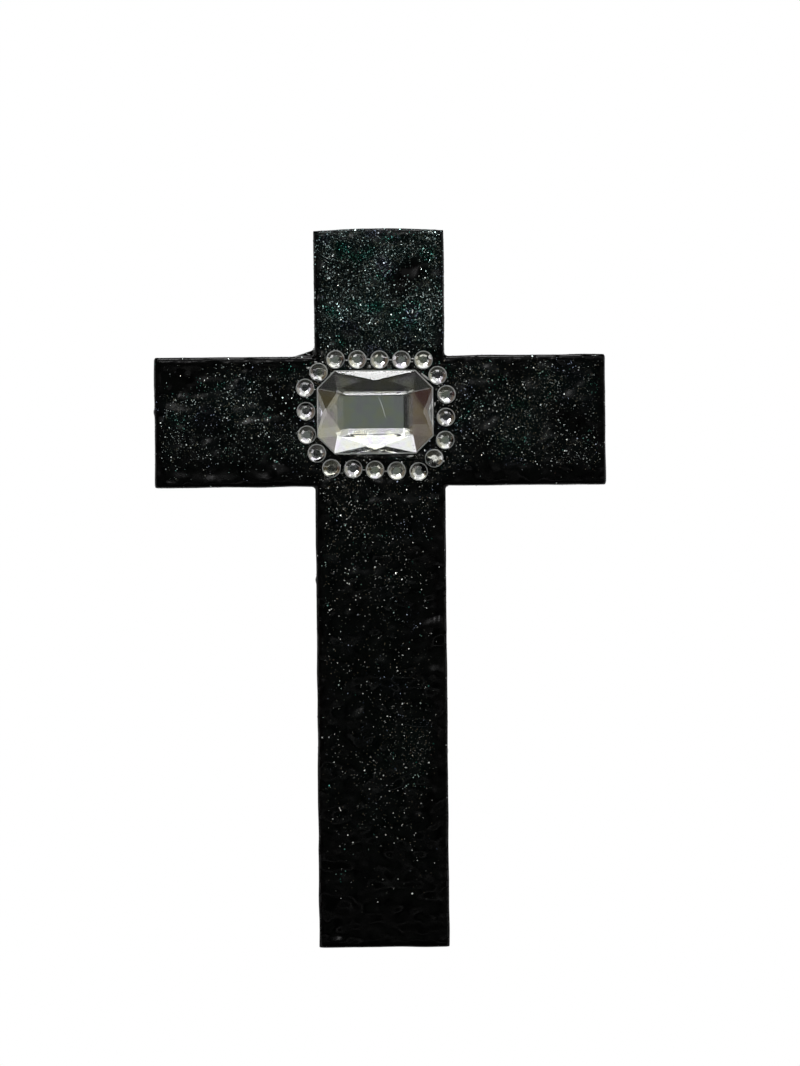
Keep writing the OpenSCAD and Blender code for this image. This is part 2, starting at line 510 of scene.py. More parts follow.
paint, paint_shader = new_material("glitter paint", IOR=1.45, Specular_IOR_Level=0.15)
place = add_node(paint, "ShaderNodeTexCoord").outputs["Object"]
peel = add_node(paint, "ShaderNodeTexNoise", Vector=place, Scale=1 / PEEL, Detail=3.0)
skin = add_node(
    paint, "ShaderNodeBump", Height=peel.outputs["Fac"], Strength=1.0, Distance=PEEL_DEEP
)
smears = add_node(paint, "ShaderNodeTexNoise", Vector=place, Scale=1 / SMEAR, Detail=4.0)
roughness = add_node(
    paint, "ShaderNodeMapRange", _0=smears.outputs["Fac"], _1=0.3, _2=0.7, _3=SMOOTHEST, _4=ROUGHEST
)
link(paint, roughness.outputs[0], paint_shader.inputs["Roughness"])
print("nodes for the skin:", len(paint.node_tree.nodes))

# %% [markdown]
# ## Dust in the paint
#
# Each speck of dust is one cell of a Voronoi pattern, whose colour is three random
# numbers. The first decides, against the amount of glitter there, whether the speck is
# metal. The second, raised to a power, leaves a few specks bright and most of them dim.
# All three lean the speck, so that each mirrors a different part of the room.

# %% The dust
DUST, DUST_SHARE = 0.15 * MM, 0.28
DUST_LEAN, DUST_CONTRAST = 0.55, 2.5

amount = read_stored(paint, "glitter")
specks = add_node(paint, "ShaderNodeTexVoronoi", Vector=place, Scale=1 / DUST)
chance = add_node(paint, "ShaderNodeSeparateColor", _0=specks.outputs["Color"])
share = add_node(
    paint, "ShaderNodeMath", "MULTIPLY", _0=amount.outputs["Fac"], _1=DUST_SHARE
)
metal = add_node(
    paint, "ShaderNodeMath", "LESS_THAN", _0=chance.outputs["Red"], _1=share.outputs[0]
)
link(paint, metal.outputs[0], paint_shader.inputs["Metallic"])

centred = add_node(
    paint, "ShaderNodeVectorMath", "SUBTRACT", _0=specks.outputs["Color"], _1=(0.5, 0.5, 0.5)
)
lean = add_node(
    paint, "ShaderNodeVectorMath", "SCALE", _0=centred.outputs[0], Scale=DUST_LEAN
)
leaning = add_node(
    paint, "ShaderNodeVectorMath", "ADD", _0=skin.outputs["Normal"], _1=lean.outputs[0]
)
speck = add_node(paint, "ShaderNodeVectorMath", "NORMALIZE", _0=leaning.outputs[0])
normal = add_mix(paint, "VECTOR", metal.outputs[0], skin.outputs["Normal"], speck.outputs[0])
link(paint, normal.outputs[1], paint_shader.inputs["Normal"])
print("nodes with the dust:", len(paint.node_tree.nodes))

# %% [markdown]
# ## The colour of the paint
#
# Under the dust the paint is black. Where much glitter lies it has a faint haze of the
# glitter's own tint, from specks that sank in. On the back it was brushed on so thinly
# that it looks dark brown in streaks. Ground and haze are added, and metal covers both.

# %% Ground, haze and specks
BLACK = (0.0003, 0.0003, 0.0003, 1)
THIN_PAINT = (0.014, 0.011, 0.008, 1)
HAZE = (0.0008, 0.003, 0.003)

tint, thin = read_stored(paint, "tint"), read_stored(paint, "thin")
ground = add_mix(paint, "RGBA", thin.outputs["Fac"], BLACK, THIN_PAINT)
haze_tint = add_node(
    paint, "ShaderNodeVectorMath", "MULTIPLY", _0=tint.outputs["Color"], _1=HAZE
)
haze = add_node(
    paint, "ShaderNodeVectorMath", "SCALE", _0=haze_tint.outputs[0], Scale=amount.outputs["Fac"]
)
hazy = add_node(
    paint, "ShaderNodeVectorMath", "ADD", _0=ground.outputs[2], _1=haze.outputs[0]
)
brightness = add_node(
    paint, "ShaderNodeMath", "POWER", _0=chance.outputs["Green"], _1=DUST_CONTRAST
)
speck_colour = add_node(
    paint, "ShaderNodeVectorMath", "SCALE", _0=tint.outputs["Color"], Scale=brightness.outputs[0]
)
colour = add_mix(paint, "RGBA", metal.outputs[0], hazy.outputs[0], speck_colour.outputs[0])
link(paint, colour.outputs[2], paint_shader.inputs["Base Color"])
print("paint nodes:", len(paint.node_tree.nodes))

# %% [markdown]
# ## Paint on the board
#
# The material asks the board for three things at each point: how much glitter lies
# there, its tint, and how thin the paint is. They could be painted on with Blender's
# brushes. Here the fields above are worked out and stored in the mesh as attributes,
# the glitter for the front and the thin streaks for the back.

# %% Store the fields and paint the board
STREAK_WIDE, STREAK_LONG, THIN_CLOUD = 1 * MM, 12 * MM, 9 * MM


def store_amount(mesh, name, amounts):
    """Keep one number for each point of the mesh, for its material to read."""
    stored = mesh.attributes.new(name, "FLOAT", "POINT")
    stored.data.foreach_set("value", amounts.astype(np.float32))


def store_tint(mesh, colours):
    """Keep one colour for each point of the mesh, for its material to read."""
    stored = mesh.color_attributes.new("tint", "FLOAT_COLOR", "POINT")
    with_alpha = np.hstack([colours, np.ones((len(colours), 1))])
    stored.data.foreach_set("color", with_alpha.astype(np.float32).ravel())


points, normals = points_and_normals(cross.data)
facing_front = np.clip(-normals[:, 1], 0, 1)
facing_back = np.clip(normals[:, 1], 0, 1)
field = glitter_amount(points[:, 0], points[:, 2], points) * facing_front
store_amount(cross.data, "glitter", field)
streaks = ramp(lumps(points, (STREAK_WIDE, STREAK_WIDE, STREAK_LONG), 11), -0.2, 0.7)
streaks *= 0.35 + 0.65 * ramp(lumps(points, THIN_CLOUD, 12), -0.3, 0.5)
store_amount(cross.data, "thin", streaks * facing_back)
teal, violet = (share[:, None] for share in patches(points))
colours = pale_tint(points) * (1 - teal) + TEAL * teal
colours = colours * (1 - violet) + VIOLET * violet
store_tint(cross.data, colours)
cross.data.materials.clear()
cross.data.materials.append(paint)
print(f"glitter over the board: {field.mean():.2f} on average")

# %% [markdown]
# ## Glitter flakes
#
# The larger flakes are cut from metal foil in six-sided specks. Each one has to catch
# the light by itself, so they are real geometry: one flat six-sided speck is modelled,
# and its points are repeated thousands of times in one mesh. Every copy is dropped
# onto the painted skin. A few lie on the sides too, fewer and fewer towards the wall.

# %% Places for the flakes
FLAKES_PER_MM2 = 4.4
SIDE_FLAKES_PER_MM2, SIDE_FADE = 1.4, 3 * MM
DROP_FROM = 50 * MM

rng = np.random.default_rng(7)
skin_tree = BVHTree.FromObject(cross, bpy.context.evaluated_depsgraph_get())


def scatter_front():
    """Places on the front face, kept or dropped by the glitter field, as (point, normal)."""
    area = 2 * HALF_SPAN * (TOP - FOOT) / MM**2
    how_many = int(area * FLAKES_PER_MM2 * MOST)
    tries = rng.uniform((-HALF_SPAN, 0, FOOT), (HALF_SPAN, 0, TOP), (how_many, 3))
    keep = rng.random(len(tries)) * MOST < glitter_amount(tries[:, 0], tries[:, 2], tries)
    found = []
    for at in tries[keep]:
        above = Vector((at[0], FRONT - DROP_FROM, at[2]))
        hit, normal, _, _ = skin_tree.ray_cast(above, Vector((0, 1, 0)))
        if hit:
            found.append((hit, normal))
    return found


def scatter_sides():
    """Places on the sides, thinning towards the wall, as (point, normal)."""
    found = []
    for face in cross.data.polygons:
        at, normal = face.center, face.normal
        in_hole = math.hypot(at.x, at.z) < 4 * MM
        if abs(normal.y) > 0.85 or in_hole:
            continue
        thinning = math.exp((FRONT - at.y) / SIDE_FADE) * amount_on_upright(at.z)
        if rng.random() < SIDE_FLAKES_PER_MM2 * thinning * face.area / MM**2:
            found.append((at.copy(), normal.copy()))
    return found


on_front, on_sides = scatter_front(), scatter_sides()
print("flakes on the front:", len(on_front), "and on the sides:", len(on_sides))

# %% [markdown]
# ## The lie and the colour of a flake
#
# A flake lies as the paint lies, leaning a little at random and turned any way round.
# Most flakes have the pale tint of their place, and many in a patch have the patch's
# colour. Each has a brightness of its own: most are dull, a few shine, and the brighter
# a flake is, the paler it looks.

# %% One flake, its lean and its colour
FLAKE_SIZES = 0.08 * MM, 0.17 * MM
FLAKE_LEAN = math.radians(10)
FLAKE_LIFT = 0.03 * MM
TEAL_ANYWHERE, TEAL_IN_PATCH = 0.06, 0.75
VIOLET_ANYWHERE, VIOLET_IN_PATCH = 0.02, 0.25
LOG_BRIGHT, LOG_SPREAD, DULLEST = -1.7, 0.95, 0.03
PALER_WHEN_BRIGHT = 0.8

deselect_all()
bpy.ops.mesh.primitive_circle_add(vertices=6, radius=1, fill_type="NGON")
master = bpy.context.object
hexagon = np.array([v.co for v in master.data.vertices])
bpy.data.objects.remove(master)


def leaning_frame(normal):
    """Two directions that span a flake leaning at random, and the way it faces."""
    lean = Matrix.Rotation(rng.normal(0, FLAKE_LEAN), 3, Vector((1, 0, 0)))
    sway = Matrix.Rotation(rng.normal(0, FLAKE_LEAN), 3, Vector((0, 0, 1)))
    turned = lean @ sway @ normal
    across = turned.orthogonal().normalized()
    across.rotate(Matrix.Rotation(rng.uniform(0, math.tau), 3, turned))
    return across, turned.cross(across), turned


def flake_colours(places):
    """The tint of each place, teal and violet in patches, each with its own brightness."""
    teal, violet = patches(places)
    pick = rng.random((len(places), 2))
    tints = pale_tint(places)
    tints[pick[:, 0] < TEAL_ANYWHERE + TEAL_IN_PATCH * teal] = TEAL
    tints[pick[:, 1] < VIOLET_ANYWHERE + VIOLET_IN_PATCH * violet] = VIOLET
    bright = np.exp(rng.normal(LOG_BRIGHT, LOG_SPREAD, len(places)))
    bright = np.clip(bright, DULLEST, 1)[:, None]
    paler = PALER_WHEN_BRIGHT * bright
    return bright * (paler * SILVER + (1 - paler) * tints)


print("corners of a flake:", len(hexagon))

# %% Lay the flakes


def make_flakes(name, found):
    """One mesh of flakes at these places."""
    corners = []
    for hit, normal in found:
        across, up, out = leaning_frame(normal)
        radius = rng.uniform(*FLAKE_SIZES)
        middle = np.array(hit + out * FLAKE_LIFT)
        spread = hexagon[:, :1] * np.array(across) + hexagon[:, 1:2] * np.array(up)
        corners.append(middle + radius * spread)
    faces = np.arange(len(hexagon) * len(found)).reshape(-1, len(hexagon))
    mesh = bpy.data.meshes.new(name)
    mesh.from_pydata(np.concatenate(corners).tolist(), [], faces.tolist())
    piece = bpy.data.objects.new(name, mesh)
    bpy.context.scene.collection.objects.link(piece)
    colours = flake_colours(np.array([hit for hit, _ in found]))
    store_tint(mesh, np.repeat(colours, len(hexagon), axis=0))
    return piece


foil, foil_shader = new_material("glitter foil", Metallic=1.0, Roughness=0.2)
link(foil, read_stored(foil, "tint").outputs["Color"], foil_shader.inputs["Base Color"])

flakes = make_flakes("glitter_flakes", on_front + on_sides)
flakes.data.materials.append(foil)
print("flakes laid:", len(flakes.data.polygons))

# %% [markdown]
# ## The large stone
#
# The stone in the middle is moulded clear plastic with a silvered back. It could be cut
# from a block with planes, but it is quicker to grow it: an eight-sided rim is extruded
# to a smaller rectangle, whose points merge in pairs, so that every cut corner becomes
# one triangle.

# %% Grow the rim and the corner facets
GEM_CUT, GEM_RIM = 3.8 * MM, 1.4 * MM
BAND = 0.22 * MM
TABLE_WIDE, TABLE_HIGH = 12.1 * MM, 7.1 * MM
STEP_WIDE, STEP_HIGH, STEP_DROP = 1.2 * MM, 0.55 * MM, 0.35 * MM

gem_low, gem_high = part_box("centre_gem")
gem_middle = (gem_low + gem_high) / 2
gem_half = (gem_high - gem_low) / 2
gem_thick = gem_high.y - gem_low.y
rim_y = FRONT - GEM_RIM
shoulder_half = Vector((TABLE_WIDE / 2 + STEP_WIDE, 0, TABLE_HIGH / 2 + STEP_HIGH))
shoulder_y = FRONT - gem_thick + STEP_DROP

deselect_all()
bpy.ops.mesh.primitive_cube_add(
    size=1,
    location=(gem_middle.x, FRONT - (GEM_RIM - BAND) / 2, gem_middle.z),
    scale=(2 * gem_half.x, GEM_RIM - BAND, 2 * gem_half.z),
)
gem = settle("large_stone")
edit()
select("EDGE", lambda e: abs((e.verts[0].co - e.verts[1].co).normalized().y) > 0.9)
bpy.ops.mesh.bevel(offset=GEM_CUT, segments=1, affect="EDGES")
select("FACE", lambda f: f.normal.y < -0.9)
bpy.ops.mesh.inset(thickness=BAND, depth=BAND)
bpy.ops.mesh.extrude_region_move(TRANSFORM_OT_translate={"value": (0, shoulder_y - rim_y, 0)})
mesh = bmesh.from_edit_mesh(gem.data)
for v in mesh.verts:
    if v.select:
        v.co.x = gem_middle.x + math.copysign(shoulder_half.x, v.co.x - gem_middle.x)
        v.co.z = gem_middle.z + math.copysign(shoulder_half.z, v.co.z - gem_middle.z)
bmesh.update_edit_mesh(gem.data)
bpy.ops.mesh.remove_doubles(threshold=0.01 * MM)
print("facets so far:", len(bmesh.from_edit_mesh(gem.data).faces))

# %% [markdown]
# ## Facets that meet in a point
#
# Each long side of the stone has four facets that meet in a raised point. Poke cuts a
# face into triangles around its middle, so the point only has to be moved to its place.

# %% Poke the sides and lift their points
APEX_IN, APEX_LIFT = 0.43, 0.35 * MM


def is_long_side(face):
    slanted = -0.95 < face.normal.y < -0.3
    above_rim = min(v.co.y for v in face.verts) < rim_y - 0.01 * MM
    return slanted and len(face.verts) == 4 and above_rim


select("FACE", is_long_side)
bpy.ops.mesh.poke()
apex_y = rim_y + APEX_IN * (shoulder_y - rim_y) - APEX_LIFT
mesh = bmesh.from_edit_mesh(gem.data)
for v in mesh.verts:
    if abs(v.co.x - gem_middle.x) < 0.5 * MM:
        reach = gem_half.z - APEX_IN * (gem_half.z - shoulder_half.z)
        v.co = (gem_middle.x, apex_y, gem_middle.z + math.copysign(reach, v.co.z - gem_middle.z))
    elif abs(v.co.z - gem_middle.z) < 0.5 * MM:
        reach = gem_half.x - APEX_IN * (gem_half.x - shoulder_half.x)
        v.co = (gem_middle.x + math.copysign(reach, v.co.x - gem_middle.x), apex_y, gem_middle.z)
bmesh.update_edit_mesh(gem.data)
print("facets with their points:", len(mesh.faces))

# %% [markdown]
# ## The table of the stone
#
# A narrow step leads up to the flat table. It is one extrude, made smaller at its end.
# Moulded plastic has no knife edges, so a very small bevel breaks them all, and they
# catch the light as fine lines.

# %% Step, table and edges
GEM_EDGE = 0.07 * MM

select("FACE", lambda f: f.normal.y < -0.99)
bpy.ops.mesh.extrude_region_move(TRANSFORM_OT_translate={"value": (0, -STEP_DROP, 0)})
bpy.ops.transform.resize(
    value=(TABLE_WIDE / 2 / shoulder_half.x, 1, TABLE_HIGH / 2 / shoulder_half.z),
    center_override=(gem_middle.x, gem_low.y, gem_middle.z),
)
bpy.ops.mesh.select_all(action="SELECT")
bpy.ops.mesh.normals_make_consistent(inside=False)
leave_edit()
modify(gem, "BEVEL", width=GEM_EDGE, segments=2, limit_method="ANGLE", angle_limit=math.radians(5))
print("large stone:", len(gem.data.polygons), "facets")

# %% [markdown]
# ## Clear plastic over silver
#
# A stone like this is bright because its flat back is silvered: light goes in through
# one facet, turns at the back and leaves through another. So the body is a clear
# material with plain values, and only the back face gets the silver. Silver that was
# sprayed on thinly has faint colours, which a soft noise lays over it.

# %% Stone materials
clear, _ = new_material(
    "clear plastic", Transmission_Weight=1.0, IOR=1.49, Roughness=0.0, Base_Color=(0.97, 0.98, 0.97, 1)
)

CLOUD, WRINKLE, WRINKLE_DEEP = 3 * MM, 1.2 * MM, 0.004 * MM

silver, silver_shader = new_material("silvered back", Metallic=1.0, Roughness=0.07)
place = add_node(silver, "ShaderNodeTexCoord").outputs["Object"]
drift = add_node(silver, "ShaderNodeTexNoise", Vector=place, Scale=1 / CLOUD, Detail=2.0)
tints = add_node(silver, "ShaderNodeValToRGB", Fac=drift.outputs["Fac"])
tints.color_ramp.elements[0].position = 0.35
tints.color_ramp.elements[0].color = (0.88, 0.84, 0.93, 1)
tints.color_ramp.elements[1].position = 0.65
tints.color_ramp.elements[1].color = (0.93, 0.92, 0.8, 1)
tints.color_ramp.elements.new(0.5).color = (0.9, 0.91, 0.9, 1)
link(silver, tints.outputs["Color"], silver_shader.inputs["Base Color"])
wrinkles = add_node(silver, "ShaderNodeTexNoise", Vector=place, Scale=1 / WRINKLE, Detail=2.0)
ripple = add_node(
    silver, "ShaderNodeBump", Height=wrinkles.outputs["Fac"], Strength=1.0, Distance=WRINKLE_DEEP
)
link(silver, ripple.outputs["Normal"], silver_shader.inputs["Normal"])
print("silver nodes:", len(silver.node_tree.nodes))

# %% [markdown]
# ## The unpolished rim
#
# The mould leaves a dull band round the rim of each stone. It slants, so it is found by
# its normal, which lies between those of the upright sides and of the flatter facets.

# %% Finish a stone
STEEP, UPRIGHT = -0.78, -0.1

frosted, _ = new_material(
    "unpolished rim", Transmission_Weight=0.5, IOR=1.49, Roughness=0.3, Base_Color=(0.36, 0.37, 0.36, 1)
)


def finish_stone(stone):
    """Silver on the back, an unpolished band round the rim, clear plastic elsewhere."""
    for material in (clear, silver, frosted):
        stone.data.materials.append(material)
    for face in stone.data.polygons:
        if face.normal.y > 0.9:
            face.material_index = 1
        elif STEEP < face.normal.y < UPRIGHT:
            face.material_index = 2


finish_stone(gem)
print("unpolished faces:", sum(face.material_index == 2 for face in gem.data.polygons))

# %% [markdown]
# ## The round stones
#
# The small stones are round discs with eight facets and a small flat table, silvered
# behind. They are made the way a stone cutter works: a round blank is cut by one slanted
# plane after another, which bisect does, filling each cut. A narrow unpolished band is
# left round the girdle.

# %% Model one round stone
FACETS = 8
SLOPE = math.radians(26.5)
TABLE_IN = 0.4
GIRDLE_BAND = 0.2 * MM
STONE_EDGE = 0.03 * MM

low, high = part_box("stone_01")
RADIUS, TALL = (high.x - low.x) / 2, high.y - low.y

deselect_all()
bpy.ops.mesh.primitive_cylinder_add(
    vertices=32, radius=RADIUS, depth=TALL, rotation=(math.pi / 2, 0, 0), location=(0, -TALL / 2, 0)
)
pattern = settle("round_stone")
edit()
for k in range(FACETS):
    angle = math.tau * k / FACETS
    outward = Vector((math.cos(angle), 0, math.sin(angle)))
    table_edge = outward * TABLE_IN * RADIUS + Vector((0, -TALL, 0))
    cut = outward * math.sin(SLOPE) + Vector((0, -math.cos(SLOPE), 0))
    bpy.ops.mesh.select_all(action="SELECT")
    bpy.ops.mesh.bisect(plane_co=table_edge, plane_no=cut, use_fill=True, clear_outer=True)


def is_girdle(edge):
    facing = [face.normal.y for face in edge.link_faces]
    return len(facing) == 2 and min(facing) < -0.7 and max(facing) > -0.1


select("EDGE", is_girdle)
bpy.ops.mesh.bevel(offset=GIRDLE_BAND, segments=1, affect="EDGES")
leave_edit()
modify(
    pattern, "BEVEL", width=STONE_EDGE, segments=1, limit_method="ANGLE", angle_limit=math.radians(12)
)
finish_stone(pattern)
print("round stone:", len(pattern.data.polygons), "facets")

# %% [markdown]
# ## Setting the round stones
#
# The stones came from one mould, so the others are copies of the one above, each with
# its own mesh. A hand set them, so each is turned its own way and tipped a little.

# %% Set the round stones
TIP = math.radians(2.2)

rounds = []
for name in [n for n in stone_names if n.startswith("stone_")]:
    low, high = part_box(name)
    stone = bpy.data.objects.new(name + "_set", pattern.data.copy())
    bpy.context.scene.collection.objects.link(stone)
    tip_x, tip_z = rng.normal(0, TIP, 2)
    turn = rng.uniform(0, math.tau)
    placed = (
        Matrix.Translation(((low.x + high.x) / 2, FRONT, (low.z + high.z) / 2))
        @ Matrix.Rotation(tip_x, 4, "X")
        @ Matrix.Rotation(tip_z, 4, "Z")
        @ Matrix.Rotation(turn, 4, "Y")
    )
    stone.data.transform(placed)
    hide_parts(name)
    rounds.append(stone)
bpy.data.objects.remove(pattern)
print("round stones set:", len(rounds))

# %% [markdown]
# ## Glue
#
# The stones were set in clear glue, which squeezed out between some of them and dried
# in small shiny beads and strings. Each bead is a ball drawn out in one direction and
# made uneven by noise. They sit between neighbouring stones, so their places come from
# the stones' boxes.

# %% Add the glue
GLUE_SUNK, GLUE_TALL, GLUE_UNEVEN, GLUE_LUMP = 0.1 * MM, 0.7, 0.16, 0.5 * MM

centres = {name: sum(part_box(name), Vector()) / 2 for name in stone_names}


def add_glue(x, z, length, width, turn):
    """One bead of glue on the paint, its long way turned by that angle from level."""
    deselect_all()
    bpy.ops.mesh.primitive_ico_sphere_add(
        subdivisions=3,
        radius=1,
        location=(x, FRONT - GLUE_SUNK, z),
        scale=(length / 2, GLUE_TALL * width, width / 2),
        rotation=(0, -turn, 0),
    )
    bead = settle("glue_bead")
    for v in bead.data.vertices:
        v.co += v.normal * width * GLUE_UNEVEN * noise.noise(v.co / GLUE_LUMP)
    return bead


def between(first, second, slide=0.0):
    """The middle between two stones, slid outward from the crossing by that much."""
    middle = (centres[first] + centres[second]) / 2
    return middle + slide * Vector((middle.x, 0, middle.z)).normalized()


beads = []
for first, second, slide, length, width in (
    ("stone_02", "stone_03", -0.2 * MM, 1.1 * MM, 0.3 * MM),
    ("stone_03", "stone_04", 0.1 * MM, 1.0 * MM, 0.35 * MM),
    ("stone_03", "stone_04", -1.4 * MM, 0.5 * MM, 0.7 * MM),
    ("stone_04", "stone_05", 0.0 * MM, 1.0 * MM, 0.3 * MM),
    ("stone_05", "stone_06", 0.3 * MM, 1.0 * MM, 0.3 * MM),
    ("stone_05", "stone_06", -0.4 * MM, 0.9 * MM, 0.25 * MM),
    ("stone_13", "stone_14", 0.2 * MM, 0.9 * MM, 0.25 * MM),
    ("stone_14", "stone_15", 0.1 * MM, 0.8 * MM, 0.25 * MM),
):
    at = between(first, second, slide)
    beads.append(add_glue(at.x, at.z, length, width, 0))
corner_stone = centres["stone_01"]
for x, z, length, width, turn in (
    (corner_stone.x - 2.1 * MM, corner_stone.z + 0.9 * MM, 0.9 * MM, 0.5 * MM, 10),
    (corner_stone.x - 0.6 * MM, corner_stone.z + 2.1 * MM, 0.8 * MM, 0.4 * MM, -20),
    (gem_high.x - 1.7 * MM, gem_high.z - 1.5 * MM, 2.4 * MM, 0.55 * MM, -40),
    (gem_high.x - 5.0 * MM, gem_low.z - 0.5 * MM, 1.4 * MM, 0.45 * MM, 5),
    (gem_high.x + 0.3 * MM, gem_middle.z + 1.6 * MM, 1.0 * MM, 0.3 * MM, 80),
):
    beads.append(add_glue(x, z, length, width, math.radians(turn)))

deselect_all()
for bead in beads:
    bead.select_set(True)
bpy.context.view_layer.objects.active = beads[0]
bpy.ops.object.join()
glue = settle("glue")
bpy.ops.object.shade_smooth()
dried, _ = new_material(
    "dried glue", Transmission_Weight=0.6, IOR=1.47, Roughness=0.12, Base_Color=(0.75, 0.76, 0.74, 1)
)
glue.data.materials.append(dried)
print("glue beads:", len(beads))

# %% [markdown]
# ## A scratch in the table
#
# The large stone has one long curved scratch in its table. It is a strip of rough faces
# a tenth of a millimetre wide, laid a hair above the clear plastic, and it tapers to
# nothing at both ends.

# %% Add the scratch
SCRATCH_WIDE = 0.14 * MM
SCRATCH = ((-0.4, 5.2), (0.1, 4.3), (0.45, 3.3), (0.8, 2.2), (1.0, 1.3), (1.4, 0.5))

deselect_all()
bpy.ops.mesh.primitive_grid_add(
    x_subdivisions=1, y_subdivisions=len(SCRATCH) - 1, size=1, rotation=(math.pi / 2, 0, 0)
)
scratch = settle("gem_scratch")
rows = sorted(scratch.data.vertices, key=lambda v: -v.co.z)
for k, v in enumerate(rows):
    x, z = SCRATCH[k // 2]
    taper = SCRATCH_WIDE * math.sin(math.pi * (k // 2 + 0.25) / (len(SCRATCH) - 0.5))
    v.co = (x * MM + math.copysign(taper / 2, v.co.x), gem_low.y - 0.01 * MM, z * MM)
pale_scratch, _ = new_material("scratched plastic", Roughness=0.5, Base_Color=(0.34, 0.36, 0.34, 1))
scratch.data.materials.append(pale_scratch)
print("scratch:", len(scratch.data.polygons), "faces")

# %% [markdown]
# ## Tie the pieces to the frame
#
# Nothing on the cross moves, so every piece rides on its one body. The pieces are listed
# under their finish, and the nodes of the frame that they stand for are hidden.

# %% Ride and replace
slots = {
    "glitter_paint": [cross, flakes],
    "gem": [gem, scratch, glue],
    "round_stone": rounds,
}
for slot, pieces in slots.items():
    for piece in pieces:
        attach(piece, "root")
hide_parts("cross")
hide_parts("centre_gem")

# %% [markdown]
# ## Room and floor
#
# Gloss paint and cut stones show what stands around them, so the light is arranged like
# a small studio in a white room. The room gives a soft light, and where the camera, a
# mirror or clear plastic shows it, it is plain white. The floor is pale, and towards its
# rim it glows more and more, a painted light that fades it to white, so that it has no
# visible end.

# %% World and floor
ROOM_LIGHT = 0.8

world = bpy.data.worlds.new("white room")
bpy.context.scene.world = world
world.use_nodes = True
soft_light = world.node_tree.nodes["Background"]
soft_light.inputs["Color"].default_value = (1, 1, 1, 1)
soft_light.inputs["Strength"].default_value = ROOM_LIGHT
white = add_node(world, "ShaderNodeBackground", Color=(1, 1, 1, 1), Strength=1.0)
ray = add_node(world, "ShaderNodeLightPath").outputs
mirror_or_glass = add_node(
    world, "ShaderNodeMath", "MAXIMUM", _0=ray["Is Glossy Ray"], _1=ray["Is Transmission Ray"]
)
seen = add_node(
    world, "ShaderNodeMath", "MAXIMUM", _0=ray["Is Camera Ray"], _1=mirror_or_glass.outputs[0]
)
either = add_node(
    world, "ShaderNodeMixShader", _0=seen.outputs[0], _1=soft_light.outputs[0], _2=white.outputs[0]
)
link(world, either.outputs[0], world.node_tree.nodes["World Output"].inputs["Surface"])

FLOOR_BELOW, FLOOR_RADIUS = 0.25, 2.85
FADE_FROM, FADE_TO, RIM_GLOW = 0.7, 2.6, 0.4

deselect_all()
bpy.ops.mesh.primitive_circle_add(
    vertices=96, radius=FLOOR_RADIUS, fill_type="NGON", location=(0, 0, FOOT - FLOOR_BELOW)
)
floor = settle("floor")
pale, pale_shader = new_material(
    "pale floor", Base_Color=(0.8, 0.8, 0.79, 1), Roughness=0.9, Emission_Color=(1, 1, 1, 1)
)
place = add_node(pale, "ShaderNodeTexCoord").outputs["Object"]
from_middle = add_node(pale, "ShaderNodeVectorMath", "LENGTH", _0=place)
distance = from_middle.outputs["Value"]
# Painted light: the floor glows more towards its rim, which fades it to white.
painted_rim_glow = add_node(
    pale, "ShaderNodeMapRange", _0=distance, _1=FADE_FROM, _2=FADE_TO, _3=0.0, _4=RIM_GLOW
)
link(pale, painted_rim_glow.outputs[0], pale_shader.inputs["Emission Strength"])
floor.data.materials.append(pale)
print("floor", 2 * FLOOR_RADIUS, "m wide,", FLOOR_BELOW, "m below the foot")

# %% [markdown]
# ## A dark tent
#
# A white room mirrored in the paint would turn the black grey. In a studio, dark cloth
# is hung on the camera's side, and that is built here: a tent around the front and a
# cloth on the floor, which glow faintly though they are no lamps. Only the paint and the
# stones show them, and they cast no shadow.

# %% Tent and floor cloth
TENT_RADIUS, TENT_OPENS_AT = 3.5, 1.48
CLOTH_RADIUS, CLOTH_ABOVE, CLOTH_SPREAD = 2.2, 5 * MM, math.radians(39)


def only_in_reflections(stage_piece):
    """Stage a piece that is only seen in mirrors and through glass."""
    stage_piece.visible_camera = False
    stage_piece.visible_diffuse = False
    stage_piece.visible_shadow = False


def glow(name, colour):
    """A material that only glows, in this colour."""
    material = bpy.data.materials.new(name)
    material.use_nodes = True
    material.node_tree.nodes.clear()
    light = add_node(material, "ShaderNodeEmission", Color=(*colour, 1), Strength=1.0)
    output = add_node(material, "ShaderNodeOutputMaterial")
    link(material, light.outputs[0], output.inputs["Surface"])
    return material


deselect_all()
bpy.ops.mesh.primitive_uv_sphere_add(segments=48, ring_count=24, radius=TENT_RADIUS)
tent = settle("dark_tent")
edit()
bpy.ops.mesh.select_all(action="SELECT")
bpy.ops.mesh.bisect(plane_co=(0, TENT_OPENS_AT, 0), plane_no=(0, 1, 0), clear_outer=True)
leave_edit()
tent.data.materials.append(glow("dark cloth", (0.013, 0.014, 0.014)))
only_in_reflections(tent)

deselect_all()
bpy.ops.mesh.primitive_circle_add(
    vertices=48,
    radius=CLOTH_RADIUS,
    fill_type="NGON",
    location=(0, 0, FOOT - FLOOR_BELOW + CLOTH_ABOVE),
)
cloth = settle("dark_floor_cloth")
edit()
for side in (-1, 1):
    outward = (side * math.cos(CLOTH_SPREAD), math.sin(CLOTH_SPREAD), 0)
    bpy.ops.mesh.select_all(action="SELECT")
    bpy.ops.mesh.bisect(plane_co=(0, 0, 0), plane_no=outward, clear_outer=True)
leave_edit()
cloth.data.materials.append(glow("dark floor cloth", (0.034, 0.035, 0.031)))
only_in_reflections(cloth)
print("tent faces:", len(tent.data.polygons), "cloth faces:", len(cloth.data.polygons))

# %% [markdown]
# ## Cards
#
# In front of the dark cloth stand a few dimly glowing cards, each placed where one of the
# stone's facets looks. Two brightly glowing ones stand far to the sides, where the front
# doesn't mirror them and somebody who looks from the side sees the gloss of the paint in them.

# %% Cards
CARD_AWAY = 2.6


